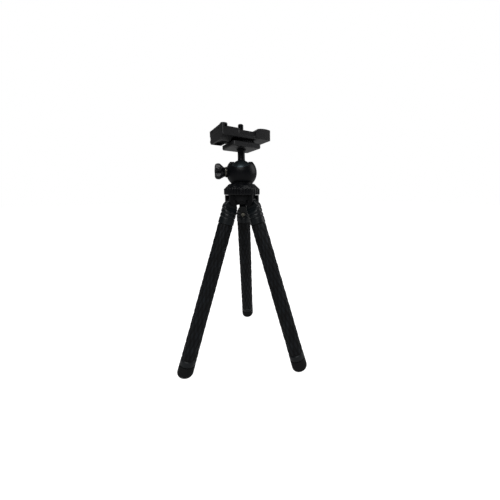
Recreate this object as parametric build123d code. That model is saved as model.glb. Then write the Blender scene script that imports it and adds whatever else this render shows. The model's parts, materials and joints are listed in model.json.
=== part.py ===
"""Small camera tripod: three rubber-sleeved bending legs, a hub that locks them, a ball head
and a quick-release clamp with its camera plate.

Frame: +Z is up, and the origin is on the hub's axis at floor level. +X runs along the clamp,
from its fixed end to its sliding jaw. Sizes are millimetres. Legs are built upright with their
pin at the local origin, then leaned out and turned to their place.
"""
import os
from math import cos, radians, sin, sqrt

from build123d import *

# Stance
LEG_AZIMUTHS = {"left": 180.0, "right": -60.0, "back": 60.0}
LEG_SPLAY = 18.0            # lean of each leg from upright at rest, degrees
LEG_LENGTH = 199.4          # hinge pin to the flat end of the foot
LEG_DIAMETER = 17.4
HINGE_RADIUS = 13.0         # hub axis to hinge pin

# Fits
RUNNING = 0.05              # radial, a shaft in its bore
SLIDING = 0.15              # a guided flat face, each side
LOOSE = 0.3                 # faces that pass each other
SEAT = 0.1                  # pieces of one body that lie side by side

# Leg
KNUCKLE_RADIUS = 4.5
TONGUE_WIDTH = 8.8
OUTER_SHOULDER = 9.0        # pin to full width on the side away from the hub
INNER_SHOULDER = 10.0       # the same on the side that faces the hub when folded
CHEEK_START = 8.0           # pin to where the flat tongue starts to swell sideways
CHEEK_END = 18.0            # pin to where the cap has become round
CAP_LENGTH = 27.5           # pin to the cap's lower end
CAP_DIAMETER = 17.6
CAP_GROOVES = (10.6, 15.2, 19.8)
GROOVE_DEPTH = 0.7
GROOVE_WIDTH = 1.0
CORE_DIAMETER = 10.0
CORE_TOP = 11.0             # pin to the core's upper end, inside the cap
FLEX_CENTRE = 105.0         # pin to the middle of the stretch that bends in the stored model
FLEX_LENGTH = 44.0
SLEEVE_END = 180.1
FERRULE_LENGTH = 6.9
FERRULE_DIAMETER = 17.2
FOOT_EDGE = 4.0             # rounding of the foot's end
FOOT_SOCKET = 4.0           # how far the core reaches into the foot
CAP_SCREW_PLACE = 15.6
CAP_SCREW_HEAD = 4.6
CAP_SCREW_SHANK = 2.5
CAP_SCREW_REACH = 6.6       # depth of its hole from the cap's surface
INNER_FLAT_DEPTH = 1.8
INNER_FLAT_WIDTH = 8.8
INNER_FLAT_LENGTH = 18.6

# Hub
PIN_DIAMETER = 3.0
DRUM_RADIUS = 15.4
DRUM_BELOW_PIN = 2.8
DRUM_BEVEL = 2.4
ARCH_RADIUS = 6.0
ARCH_HEIGHT = 3.0
EAR_RADIUS = 5.4
EAR_WALL = 2.8
CORE_POST_RADIUS = 6.2
POST_BELOW_PIN = 4.3
NECK_RADIUS = 12.0
NECK_TOP = 12.2             # above the pins
DISC_THICKNESS = 1.5
DISC_RADIUS = 16.6
DISC_LIFT = 0.6
DISC_FOOT_INNER = 8.6       # the disc's feet reach down into the slots, between these radii
DISC_FOOT_OUTER = 15.4
RING_RADIUS = 20.8
RING_BAND = 7.4
RING_SHOULDER = 5.2
RING_TOP_RADIUS = 14.6
FLUTES = 36
FLUTE_RADIUS = 0.95
BOLT_DIAMETER = 6.0
BOLT_HEAD_DIAMETER = 10.0
BOLT_HEAD_HEIGHT = 4.0
BOLT_SOCKET = 5.0
WASHER_THICKNESS = 1.0

# Ball head
BALL_RADIUS = 14.0
PIN_TO_BALL = 18.8          # hinge pins up to the bottom of the ball
HOUSING_WALL = 3.6
HOUSING_FOOT_RADIUS = 13.2
HOUSING_MOUTH_RADIUS = 8.6
HOUSING_MOUTH_DROP = 2.0    # top of the ball down to the flat rim round the mouth
SPIGOT_RADIUS = 11.0
SEAT_RADIUS = 10.9
SEAT_FLOOR = 1.8
NOTCH_RADIUS = 20.0
NOTCH_ABOVE_CENTRE = 4.0
NOTCH_BACK = 2.0            # the cut starts this far in front of the ball's centre
NOTCH_AZIMUTH = -124.0
STEM_RADIUS = 4.1
STEM_FLARE = 1.0
STEM_FLANGE_RADIUS = 5.3
STEM_FLANGE = 1.2
KNOB_AZIMUTH = 165.0
KNOB_RADIUS = 9.4
KNOB_LENGTH = 11.2
KNOB_HEAD = 5.6
KNOB_NECK_RADIUS = 5.4
KNOB_LOBES = 5
KNOB_SCALLOP = 4.6
LOCK_SCREW_RADIUS = 2.5
PLUNGER_RADIUS = 3.6
PLUNGER_LENGTH = 2.4
PLUNGER_TRAVEL = 0.4
KNOB_WASHER_RADIUS = 5.6
KNOB_WASHER = 0.9

# Clamp
CLAMP_ABOVE_BALL = 11.8     # top of the ball to the underside of the clamp's foot
FOOT_SIDE = 33.5
FOOT_THICKNESS = 5.0
FOOT_CORNER = 2.6
POST_RADIUS = 5.0
WHEEL_RADIUS = 15.5
WHEEL_THICKNESS = 2.9
WHEEL_FLUTES = 40
WHEEL_FLUTE_RADIUS = 0.7
CAM_ORBIT = 7.3
CAM_RADIUS = 1.2
CAM_HALF_TURN = 20.0
CLAMP_LENGTH = 57.8
FIXED_REACH = 29.6          # hub axis to the clamp's fixed end
CLAMP_WIDTH = 38.0
CLAMP_CORNER = 1.6
FLOOR_THICKNESS = 3.2
FIXED_JAW_LENGTH = 19.3
FIXED_JAW_HEIGHT = 8.9      # above the underside of the clamp's floor
END_WALL_HEIGHT = 11.3
END_CAP_THICKNESS = 2.4
END_CAP_BOTTOM = 4.2
END_SCREW_SPACING = 20.4
END_SCREW_HEAD = 3.2
CORNER_POST_RADIUS = 3.5
CORNER_POST_HEIGHT = 11.7
POST_HOLE_RADIUS = 1.3
LUG_LENGTH = 12.0
LUG_DEPTH = 3.5
JAW_LENGTH = 19.0
JAW_HEIGHT = 12.6
JAW_UNDERSIDE = 1.0         # above the underside of the clamp's floor
JAW_CROWN = 1.2
BAR_INNER = 4.4
BAR_OUTER = 10.4
BAR_LENGTH = 18.0
BAR_THICKNESS = 1.7
DOVETAIL = 2.2
PLATE_WIDTH = 35.0
PLATE_THICKNESS = 4.6
RISER_WIDTH = 14.0
RISER_HEIGHT = 2.0
PAD_THICKNESS = 1.4
CAMERA_SCREW_RADIUS = 3.175     # quarter inch thread, outside
CAMERA_SCREW_RISE = 7.6         # above the pad
SCREW_NECK_RADIUS = 2.6
SCREW_HEAD_RADIUS = 6.2
SCREW_HEAD = 2.1
CLIP_RADIUS = 5.0
CLIP_THICKNESS = 0.8
CLAMP_BOLT_RADIUS = 2.0
CLAMP_BOLT_HEAD_RADIUS = 3.9
CLAMP_BOLT_HEAD = 2.0
CLAMP_BOLT_LENGTH = 16.0

# Heights worked out from the sizes above
HINGE_Z = ((LEG_LENGTH - FOOT_EDGE) * cos(radians(LEG_SPLAY))
           + (LEG_DIAMETER / 2 - FOOT_EDGE) * sin(radians(LEG_SPLAY)) + FOOT_EDGE)
FEET_Z = HINGE_Z + KNUCKLE_RADIUS + LOOSE
DRUM_TOP = FEET_Z + 2.0
RING_Z = DRUM_TOP + LOOSE
DISC_Z = DRUM_TOP + 0.5
NECK_Z = HINGE_Z + NECK_TOP
BALL_Z = HINGE_Z + PIN_TO_BALL + BALL_RADIUS
HOUSING_RADIUS = BALL_RADIUS + HOUSING_WALL
MOUTH_Z = BALL_Z + BALL_RADIUS - HOUSING_MOUTH_DROP
FOOT_Z = BALL_Z + BALL_RADIUS + CLAMP_ABOVE_BALL
WHEEL_Z = FOOT_Z + FOOT_THICKNESS + LOOSE
FLOOR_Z = WHEEL_Z + WHEEL_THICKNESS + LOOSE
BAR_Z = FLOOR_Z + JAW_UNDERSIDE
PLATE_Z = FLOOR_Z + FLOOR_THICKNESS + SEAT
PAD_Z = PLATE_Z + PLATE_THICKNESS + RISER_HEIGHT
FIXED_END = -FIXED_REACH
FIXED_FACE = FIXED_END + FIXED_JAW_LENGTH
JAW_FACE = CLAMP_LENGTH - FIXED_REACH - JAW_LENGTH


def disc(radius, z, height):
    """A cylinder that stands on height z."""
    return Pos(0, 0, z) * Cylinder(radius, height, align=(Align.CENTER, Align.CENTER, Align.MIN))


def block(x0, x1, y0, y1, z0, z1):
    """A box between two corners."""
    corner = (Align.MIN, Align.MIN, Align.MIN)
    return Pos(x0, y0, z0) * Box(x1 - x0, y1 - y0, z1 - z0, align=corner)


def lying(radius, length, direction):
    """A cylinder centred on the origin that lies along X or Y."""
    turn = Rot(0, 90, 0) if direction == "x" else Rot(90, 0, 0)
    return turn * Cylinder(radius, length)


def turned(points):
    """A solid of revolution about Z from an outline of radius and height."""
    outline = make_face(Polyline(*[(r, 0, z) for r, z in points], close=True))
    return revolve(outline, Axis.Z)


def around(shape, count, radius):
    """Copies of a shape, evenly spaced on a circle about Z."""
    return [Rot(0, 0, 360 * i / count) * Pos(radius, 0, 0) * shape for i in range(count)]


def rounded_plate(x0, x1, y0, y1, z, height, radius):
    """A plate with rounded corners, standing on height z."""
    outline = Pos((x0 + x1) / 2, (y0 + y1) / 2, z) * RectangleRounded(x1 - x0, y1 - y0, radius)
    return extrude(outline, height)


# Legs, upright with the pin at the origin and +X pointing away from the hub


def cap_form(grow):
    """The cap and tongue: a round bar cut to a side view and a front view."""
    r = CAP_DIAMETER / 2 + grow
    pin = KNUCKLE_RADIUS + grow
    bulge = (pin + r) / 2
    outer = ThreePointArc((pin, 0), (bulge + 0.8, -0.45 * OUTER_SHOULDER), (r, -OUTER_SHOULDER))
    inner = ThreePointArc((-pin, 0), (-bulge, -0.47 * INNER_SHOULDER), (-r, -INNER_SHOULDER))
    side = [outer, inner, Polyline(outer @ 1, (r, -CAP_LENGTH), (-r, -CAP_LENGTH), inner @ 1),
            ThreePointArc(inner @ 0, (0, pin), outer @ 0)]
    flat = TONGUE_WIDTH / 2 + grow
    cheek = ThreePointArc((flat, -CHEEK_START), ((flat + r) / 2 + 0.6, -(CHEEK_START + CHEEK_END) / 2),
                          (r, -CHEEK_END))
    front = [cheek, mirror(cheek, Plane.YZ),
             Polyline(cheek @ 1, (r, -CAP_LENGTH), (-r, -CAP_LENGTH), (-r, -CHEEK_END)),
             Polyline((-flat, -CHEEK_START), (-flat, 2 * pin), (flat, 2 * pin), cheek @ 0)]
    form = disc(r, -CAP_LENGTH, CAP_LENGTH + 2 * pin)
    form &= extrude(Plane.XZ * make_face(side), 2 * r, both=True)
    return form & extrude(Plane.YZ * make_face(front), 2 * r, both=True)


def leg_cap():
    """The moulded cap: a tongue for the hub's slot that swells into a ringed round socket."""
    cap = cap_form(0)
    for place in CAP_GROOVES:
        cap -= disc(LEG_DIAMETER, -place - GROOVE_WIDTH / 2, GROOVE_WIDTH) - cap_form(-GROOVE_DEPTH)
    cap -= disc(CORE_DIAMETER / 2 + RUNNING, -CAP_LENGTH, CAP_LENGTH - CORE_TOP + SEAT)
    face = -CAP_DIAMETER / 2 + INNER_FLAT_DEPTH
    cap -= block(face - LEG_DIAMETER, face, -INNER_FLAT_WIDTH / 2, INNER_FLAT_WIDTH / 2,
                 -INNER_FLAT_LENGTH, 0)
    return cap - screw_bore() - lying(PIN_DIAMETER / 2 + RUNNING, LEG_DIAMETER, "y")


def screw_bore():
    """The hole for the cap's screw, through the cap's inner wall into the core."""
    reach = 2 * CAP_SCREW_REACH
    return Pos(-CAP_DIAMETER / 2, 0, -CAP_SCREW_PLACE) * lying(CAP_SCREW_SHANK / 2 + RUNNING, reach, "x")


def cap_screw():
    """The bright screw that pins the cap from the leg's inner side."""
    face = -CAP_DIAMETER / 2 + INNER_FLAT_DEPTH
    head = Pos(face - 0.8, 0, 0) * lying(CAP_SCREW_HEAD / 2, 1.6 - 2 * RUNNING, "x")
    recess = Pos(face - 1.6, 0, 0) * lying(0.9, 1.0, "x")
    length = CAP_SCREW_REACH - INNER_FLAT_DEPTH - SEAT
    shank = Pos(face + length / 2, 0, 0) * lying(CAP_SCREW_SHANK / 2, length, "x")
    return Pos(0, 0, -CAP_SCREW_PLACE) * (head - recess + shank)


def leg_core(start, end):
    """A stretch of the bendable metal core."""
    return disc(CORE_DIAMETER / 2, -end, end - start)


def leg_sleeve(start, end):
    """A stretch of the rubber sleeve round the core."""
    return (disc(LEG_DIAMETER / 2, -end, end - start)
            - disc(CORE_DIAMETER / 2 + RUNNING, -end, end - start))


def ferrule():
    """The smooth ring between the sleeve and the foot."""
    end = SLEEVE_END + FERRULE_LENGTH
    edge = 0.5
    r = FERRULE_DIAMETER / 2
    bore = CORE_DIAMETER / 2 + RUNNING
    return turned([(bore, -end), (r - edge, -end), (r, -end + edge),
                   (r, -SLEEVE_END - edge), (r - edge, -SLEEVE_END), (bore, -SLEEVE_END)])


def foot_tip():
    """The rubber tip, a plug with a rounded flat end that meets the floor."""
    top = SLEEVE_END + FERRULE_LENGTH
    r = LEG_DIAMETER / 2
    tip = disc(r, -LEG_LENGTH, LEG_LENGTH - top)
    tip = fillet(tip.edges().group_by(Axis.Z)[0], FOOT_EDGE)
    return tip - disc(CORE_DIAMETER / 2 + RUNNING, -top - FOOT_SOCKET, FOOT_SOCKET)


def place_leg(shape, azimuth):
    """Leans a leg piece out and sets it under the hub."""
    hinge = Pos(HINGE_RADIUS, 0, HINGE_Z) * Rot(0, -LEG_SPLAY, 0)
    return Rot(0, 0, azimuth) * hinge * shape


def make_legs():
    """All pieces of the three legs, by node name."""
    flex_start = FLEX_CENTRE - FLEX_LENGTH / 2
    flex_end = FLEX_CENTRE + FLEX_LENGTH / 2
    core_end = SLEEVE_END + FERRULE_LENGTH + FOOT_SOCKET - SEAT
    pieces = {
        "cap": leg_cap(),
        "cap_screw": cap_screw(),
        "core_upper": leg_core(CORE_TOP, flex_start) - screw_bore(),
        "sleeve_upper": leg_sleeve(CAP_LENGTH, flex_start),
        "flex": Compound([leg_core(flex_start, flex_end), leg_sleeve(flex_start, flex_end)]),
        "core_lower": leg_core(flex_end, core_end),
        "sleeve_lower": leg_sleeve(flex_end, SLEEVE_END),
        "ferrule": ferrule(),
        "foot": foot_tip(),
    }
    return {f"{side}_leg_{name}": place_leg(shape, azimuth)
            for side, azimuth in LEG_AZIMUTHS.items() for name, shape in pieces.items()}


# Hub


def at_hinges(shape):
    """One copy of a shape at each hinge, with local +X pointing outwards."""
    return [Rot(0, 0, azimuth) * Pos(HINGE_RADIUS, 0, HINGE_Z) * shape
            for azimuth in LEG_AZIMUTHS.values()]


def hub_body():
    """The drum with three slots for the leg tongues, its cheeks, its core and the neck."""
    slot = TONGUE_WIDTH + 2 * LOOSE
    low = HINGE_Z - DRUM_BELOW_PIN
    body = turned([(0, low), (DRUM_RADIUS - DRUM_BEVEL, low), (DRUM_RADIUS, low + DRUM_BEVEL),
                   (DRUM_RADIUS, DRUM_TOP), (0, DRUM_TOP)])
    width = slot + 2 * EAR_WALL
    cheek = block(-HINGE_RADIUS / 2, EAR_RADIUS, -width / 2, width / 2, 0, DRUM_TOP - HINGE_Z)
    for ear in at_hinges(cheek + lying(EAR_RADIUS, width, "y")):
        body += ear
    body &= disc(2 * DRUM_RADIUS, HINGE_Z - EAR_RADIUS, DRUM_TOP - HINGE_Z + EAR_RADIUS)
    arch = Pos(DRUM_RADIUS, 0, low + ARCH_HEIGHT - ARCH_RADIUS) * lying(ARCH_RADIUS, 2 * DRUM_BEVEL, "x")
    for azimuth in LEG_AZIMUTHS.values():
        body -= Rot(0, 0, azimuth + 60) * arch
    channel = block(CORE_POST_RADIUS - HINGE_RADIUS, 2 * HINGE_RADIUS, -slot / 2, slot / 2,
                    -2 * EAR_RADIUS, DRUM_TOP - HINGE_Z)
    for cut in at_hinges(channel):
        body -= cut
    foot = HINGE_Z - POST_BELOW_PIN
    body += disc(CORE_POST_RADIUS, foot, DRUM_TOP - foot)
    body += disc(NECK_RADIUS, DRUM_TOP, NECK_Z - DRUM_TOP)
    for cut in at_hinges(lying(KNUCKLE_RADIUS + LOOSE, slot, "y")):
        body -= cut
    body -= disc(BOLT_DIAMETER / 2 + RUNNING, foot, NECK_Z - foot)
    body -= disc(BOLT_HEAD_DIAMETER / 2 + SEAT, foot, BOLT_HEAD_HEIGHT + WASHER_THICKNESS)
    for cut in at_hinges(lying(PIN_DIAMETER / 2 + RUNNING, 3 * slot, "y")):
        body -= cut
    return body


def leg_pins():
    """The three hinge pins, one across each slot."""
    length = TONGUE_WIDTH + 2 * LOOSE + 2 * EAR_WALL - 0.4
    return Compound(at_hinges(lying(PIN_DIAMETER / 2, length, "y")))


def pressure_disc():
    """The disc inside the ring, with a foot in each slot that presses on the leg's knuckle."""
    width = TONGUE_WIDTH + 2 * (LOOSE - SLIDING)
    body = disc(DISC_RADIUS, DISC_Z, DISC_THICKNESS)
    foot = block(DISC_FOOT_INNER, DISC_FOOT_OUTER, -width / 2, width / 2, FEET_Z, DISC_Z)
    for azimuth in LEG_AZIMUTHS.values():
        body += Rot(0, 0, azimuth) * foot
    return body - disc(NECK_RADIUS + RUNNING, FEET_Z, 2 * RING_BAND)


def lock_ring():
    """The fluted ring that locks the legs, with a sloping shoulder."""
    band = RING_Z + RING_BAND
    top = band + RING_SHOULDER
    inner = NECK_RADIUS + RUNNING
    upper = HOUSING_FOOT_RADIUS + LOOSE
    room = DISC_Z + DISC_THICKNESS + DISC_LIFT + LOOSE
    wall = DISC_RADIUS + LOOSE
    ring = turned([(inner, room), (wall, room), (wall, RING_Z), (RING_RADIUS - 0.8, RING_Z),
                   (RING_RADIUS, RING_Z + 0.8), (RING_RADIUS, band - 0.8),
                   (RING_RADIUS - 0.8, band), (RING_TOP_RADIUS, top), (upper, top),
                   (upper, NECK_Z + LOOSE), (inner, NECK_Z - 1.0)])
    depth = top - RING_Z
    flute = disc(FLUTE_RADIUS, RING_Z - 1, depth)
    shallow = RING_RADIUS + 0.35 * FLUTE_RADIUS
    for cut in around(flute, FLUTES, shallow):
        ring -= cut
    return ring


def centre_bolt():
    """The socket-head bolt that holds hub and ball housing together."""
    low = HINGE_Z - POST_BELOW_PIN
    head = disc(BOLT_HEAD_DIAMETER / 2, low, BOLT_HEAD_HEIGHT)
    socket = extrude(Pos(0, 0, low) * RegularPolygon(BOLT_SOCKET / 2, 6, major_radius=False),
                     BOLT_HEAD_HEIGHT / 2)
    end = BALL_Z - BALL_RADIUS - SEAT_FLOOR - 1.0
    shank = disc(BOLT_DIAMETER / 2, low + BOLT_HEAD_HEIGHT, end - low - BOLT_HEAD_HEIGHT)
    return head - socket + shank


def bolt_washer():
    """The washer under the bolt's head."""
    z = HINGE_Z - POST_BELOW_PIN + BOLT_HEAD_HEIGHT
    return (disc(BOLT_HEAD_DIAMETER / 2, z, WASHER_THICKNESS)
            - disc(BOLT_DIAMETER / 2 + RUNNING, z, WASHER_THICKNESS))


# Ball head


def at_knob(shape):
    """Sets a shape made along +X from the ball's centre on the lock knob's axis."""
    return Pos(0, 0, BALL_Z) * Rot(0, 0, KNOB_AZIMUTH) * shape


def rod(radius, start, end):
    """A cylinder along +X between two distances from the origin."""
    return Pos((start + end) / 2, 0, 0) * lying(radius, end - start, "x")


def ball_housing():
    """The round housing: socket, mouth, drop notch, seat pocket and side bore."""
    foot_z = BALL_Z - sqrt(HOUSING_RADIUS ** 2 - HOUSING_FOOT_RADIUS ** 2)
    body = Pos(0, 0, BALL_Z) * Sphere(HOUSING_RADIUS)
    body &= disc(HOUSING_RADIUS + 1, foot_z, MOUTH_Z - foot_z)
    body += disc(HOUSING_FOOT_RADIUS - 0.6, foot_z - 1.4, 1.6)
    body += disc(SPIGOT_RADIUS, NECK_Z, foot_z - NECK_Z)
    body -= Pos(0, 0, BALL_Z) * Sphere(BALL_RADIUS + RUNNING)
    body -= disc(HOUSING_MOUTH_RADIUS, BALL_Z, HOUSING_RADIUS)
    seat_z = BALL_Z - BALL_RADIUS - SEAT_FLOOR
    body -= disc(SEAT_RADIUS + RUNNING, seat_z, BALL_RADIUS)
    body -= disc(BOLT_DIAMETER / 2 + RUNNING, NECK_Z, seat_z - NECK_Z)
    body += at_knob(rod(KNOB_WASHER_RADIUS + 0.4, BALL_RADIUS + 1, HOUSING_RADIUS + 0.4))
    body -= at_knob(rod(PLUNGER_RADIUS + RUNNING, 0, plunger_pocket()))
    body -= at_knob(rod(LOCK_SCREW_RADIUS + RUNNING, 0, 2 * HOUSING_RADIUS))
    notch = rod(NOTCH_RADIUS, NOTCH_BACK, 2 * HOUSING_RADIUS)
    lift = BALL_Z + NOTCH_ABOVE_CENTRE + NOTCH_RADIUS
    body -= Pos(0, 0, lift) * Rot(0, 0, NOTCH_AZIMUTH) * notch
    return body


def ball_seat():
    """The plastic cup that carries the ball from below."""
    z = BALL_Z - BALL_RADIUS - SEAT_FLOOR
    rim = sqrt(BALL_RADIUS ** 2 - SEAT_RADIUS ** 2)
    cup = disc(SEAT_RADIUS, z + RUNNING, BALL_Z - rim - 0.8 - z)
    return cup - Pos(0, 0, BALL_Z) * Sphere(BALL_RADIUS + RUNNING)


def ball_stem():
    """The ball, its flared stem and the flange that the clamp turns on."""
    ball = Pos(0, 0, BALL_Z) * Sphere(BALL_RADIUS)
    flare_r = STEM_RADIUS + STEM_FLARE
    flare_z = BALL_Z + sqrt(BALL_RADIUS ** 2 - flare_r ** 2)
    top = FOOT_Z - RUNNING
    low = flare_z - 0.2
    flare = TangentArc((STEM_RADIUS, 0, low + 2.2 * STEM_FLARE), (flare_r, 0, low),
                       tangent=(0, 0, -1))
    side = [Line((0, 0, low), (flare_r, 0, low)), flare,
            Polyline((STEM_RADIUS, 0, low + 2.2 * STEM_FLARE),
                     (STEM_RADIUS, 0, top - 2 * STEM_FLANGE),
                     (STEM_FLANGE_RADIUS, 0, top - STEM_FLANGE),
                     (STEM_FLANGE_RADIUS, 0, top), (0, 0, top), (0, 0, low))]
    stem = revolve(make_face(side), Axis.Z)
    thread = CLAMP_BOLT_LENGTH - (FLOOR_Z - FOOT_Z) + 1
    return ball + stem - disc(CLAMP_BOLT_RADIUS + RUNNING, top - thread, thread)


def plunger_pocket():
    """How far the plunger's bore reaches from the ball's centre."""
    return BALL_RADIUS + PLUNGER_LENGTH + PLUNGER_TRAVEL + LOOSE


def lock_plunger():
    """The pad that the knob's screw presses on the ball."""
    pad = at_knob(rod(PLUNGER_RADIUS, BALL_RADIUS - 1.2, BALL_RADIUS + PLUNGER_LENGTH))
    return pad - Pos(0, 0, BALL_Z) * Sphere(BALL_RADIUS + RUNNING)


def lock_screw():
    """The knob's threaded shaft."""
    end = HOUSING_RADIUS + KNOB_WASHER + KNOB_LENGTH - 2.0
    return at_knob(rod(LOCK_SCREW_RADIUS, plunger_pocket(), end))


def knob_washer():
    """The bright collar between knob and housing."""
    start = HOUSING_RADIUS + 0.4 + RUNNING
    end = start + KNOB_WASHER
    return at_knob(rod(KNOB_WASHER_RADIUS, start, end) - rod(LOCK_SCREW_RADIUS + RUNNING, 0, 2 * end))


def lock_knob():
    """The lobed thumb knob, tapering to its neck."""
    start = HOUSING_RADIUS + 0.4 + 2 * RUNNING + KNOB_WASHER
    end = start + KNOB_LENGTH
    shape = turned([(0, start), (KNOB_NECK_RADIUS, start), (KNOB_NECK_RADIUS, start + 1.4),
                    (KNOB_RADIUS, end - KNOB_HEAD), (KNOB_RADIUS, end - 1.2),
                    (KNOB_RADIUS - 1.6, end), (0, end)])
    reach = KNOB_RADIUS + KNOB_SCALLOP * 0.55
    lean = Pos(0, 0, start) * Rot(0, -14, 0) * disc(KNOB_SCALLOP, -2, 2 * KNOB_LENGTH)
    for cut in around(lean, KNOB_LOBES, reach):
        shape -= cut
    shape -= disc(LOCK_SCREW_RADIUS + RUNNING, start, KNOB_LENGTH - 2.0)
    return at_knob(Rot(0, 90, 0) * shape)


# Clamp


def clamp_foot():
    """The square foot on the stem, with the post that the wheel turns on."""
    half = FOOT_SIDE / 2
    foot = rounded_plate(-half, half, -half, half, FOOT_Z, FOOT_THICKNESS, FOOT_CORNER)
    foot = chamfer(foot.edges().group_by(Axis.Z)[0], 0.8)
    foot += disc(POST_RADIUS, FOOT_Z + FOOT_THICKNESS, FLOOR_Z - FOOT_Z - FOOT_THICKNESS)
    return foot - disc(CLAMP_BOLT_RADIUS + RUNNING, FOOT_Z, FLOOR_Z - FOOT_Z)


def lock_wheel():
    """The thumb wheel under the clamp, fluted, with a recess in its underside."""
    wheel = disc(WHEEL_RADIUS, WHEEL_Z, WHEEL_THICKNESS)
    wheel = chamfer(wheel.edges(), 0.5)
    wheel -= disc(POST_RADIUS + RUNNING, WHEEL_Z, WHEEL_THICKNESS)
    wheel -= disc(WHEEL_RADIUS - 2.4, WHEEL_Z, 0.9) - disc(CAM_ORBIT + 2.2, WHEEL_Z, 0.9)
    flute = disc(WHEEL_FLUTE_RADIUS, WHEEL_Z - 1, WHEEL_THICKNESS + 2)
    for cut in around(flute, WHEEL_FLUTES, WHEEL_RADIUS + 0.4 * WHEEL_FLUTE_RADIUS):
        wheel -= cut
    return wheel - cam_pin(RUNNING)


def cam_pin(grow=0.0):
    """The pin in the wheel that shifts the sliding jaw."""
    start = WHEEL_Z + 0.9
    top = BAR_Z + BAR_THICKNESS - 0.1
    angle = -90 - CAM_HALF_TURN
    return Rot(0, 0, angle) * Pos(CAM_ORBIT, 0, 0) * disc(CAM_RADIUS + grow, start, top - start)


def dovetail_groove(face, side):
    """The undercut in a jaw's inner face, closed at both ends; side is 1 for the sliding jaw."""
    z = FLOOR_Z + FLOOR_THICKNESS
    outline = [(face - side, z), (face + side * DOVETAIL, z), (face + side * DOVETAIL, z + 0.9),
               (face, z + 0.9 + DOVETAIL), (face - side, z + 0.9 + DOVETAIL)]
    section = make_face(Polyline(*[(x, 0, h) for x, h in outline], close=True))
    return extrude(section, PLATE_WIDTH / 2 + LOOSE, both=True)


def clamp_lug():
    """The hollow lug under the fixed end, sloped on its near side."""
    half = CLAMP_WIDTH / 2
    z = FLOOR_Z
    outline = [(-half, z), (-half + 8.5, z - LUG_DEPTH), (half - 2.5, z - LUG_DEPTH),
               (half, z - 1.0), (half, z + 1), (-half, z + 1)]
    section = make_face(Polyline(*[(FIXED_END, y, h) for y, h in outline], close=True))
    lug = extrude(section, LUG_LENGTH, dir=(1, 0, 0))
    pocket = block(FIXED_END + 2, FIXED_END + LUG_LENGTH - 2, -half + 11, half - 2.5,
                   z - LUG_DEPTH, z - 0.6)
    return lug - pocket


def clamp_body():
    """The floor, the fixed jaw with its corner post, and the channels for the jaw's bars."""
    half = CLAMP_WIDTH / 2
    floor_end = JAW_FACE - LOOSE
    body = rounded_plate(FIXED_END, floor_end, -half, half, FLOOR_Z, FLOOR_THICKNESS, CLAMP_CORNER)
    jaw = rounded_plate(FIXED_END, FIXED_FACE, -half, half, FLOOR_Z, FIXED_JAW_HEIGHT, CLAMP_CORNER)
    jaw = chamfer(jaw.edges().group_by(Axis.Z)[-1], 0.5)
    body += jaw
    wall = rounded_plate(FIXED_END, FIXED_END + 4.5, -half, half, FLOOR_Z, END_WALL_HEIGHT, CLAMP_CORNER)
    body += wall
    post = Pos(FIXED_END + CORNER_POST_RADIUS, -half + CORNER_POST_RADIUS, 0)
    body += post * disc(CORNER_POST_RADIUS, FLOOR_Z, CORNER_POST_HEIGHT)
    body += clamp_lug()
    body -= dovetail_groove(FIXED_FACE, -1)
    body -= block(FIXED_END - 1, FIXED_END + END_CAP_THICKNESS, -half + 2 * CORNER_POST_RADIUS,
                  half + 1, FLOOR_Z + END_CAP_BOTTOM, FLOOR_Z + END_WALL_HEIGHT + 1)
    bar_end = JAW_FACE - BAR_LENGTH
    for side in (-1, 1):
        low, high = sorted((side * (BAR_INNER - SLIDING), side * (BAR_OUTER + SLIDING)))
        body -= block(bar_end - 1.0, floor_end, low, high, BAR_Z - SLIDING, FLOOR_Z + FLOOR_THICKNESS)
    body -= cam_slot()
    body -= disc(CLAMP_BOLT_HEAD_RADIUS + SEAT, FLOOR_Z + FLOOR_THICKNESS - CLAMP_BOLT_HEAD - SEAT, 4)
    body -= disc(CLAMP_BOLT_RADIUS + RUNNING, FLOOR_Z, FLOOR_THICKNESS)
    body -= post_hole(RUNNING)
    for place in end_screw_places():
        body -= place * lying(CLAMP_BOLT_RADIUS / 2 + RUNNING, 10, "x")
    return body


def cam_slot():
    """The curved slot in the floor that the cam pin sweeps."""
    path = CenterArc((0, 0), CAM_ORBIT, -90 - CAM_HALF_TURN - 3, 2 * CAM_HALF_TURN + 6)
    outline = SlotArc(path, 2 * (CAM_RADIUS + LOOSE))
    return extrude(Pos(0, 0, FLOOR_Z) * outline, FLOOR_THICKNESS)


def post_hole(grow=0.0):
    """The grub screw across the corner post, seen as a dark hole."""
    half = CLAMP_WIDTH / 2
    y = -half + CORNER_POST_RADIUS
    hole = lying(POST_HOLE_RADIUS + grow, 2 * CORNER_POST_RADIUS, "y")
    return Pos(FIXED_END + CORNER_POST_RADIUS + 0.8, y, FLOOR_Z + 9.0) * hole


def post_screw():
    """The grub screw itself, sunk in its hole, with a hexagon socket."""
    screw = post_hole() & block(-CLAMP_LENGTH, CLAMP_LENGTH, -CLAMP_WIDTH / 2 + 1.2, 0,
                                FLOOR_Z, FLOOR_Z + CLAMP_LENGTH)
    centre = screw.center()
    socket = extrude(RegularPolygon(0.7, 6), 2, both=True)
    return screw - Pos(centre.X, -CLAMP_WIDTH / 2 + 1.2, centre.Z) * Rot(90, 0, 0) * socket


def end_screw_places():
    """Where the two end-cap screws sit."""
    z = FLOOR_Z + (END_CAP_BOTTOM + END_WALL_HEIGHT) / 2 + 1.0
    return [Pos(FIXED_END, side * END_SCREW_SPACING / 2 + 1.0, z) for side in (-1, 1)]


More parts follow.
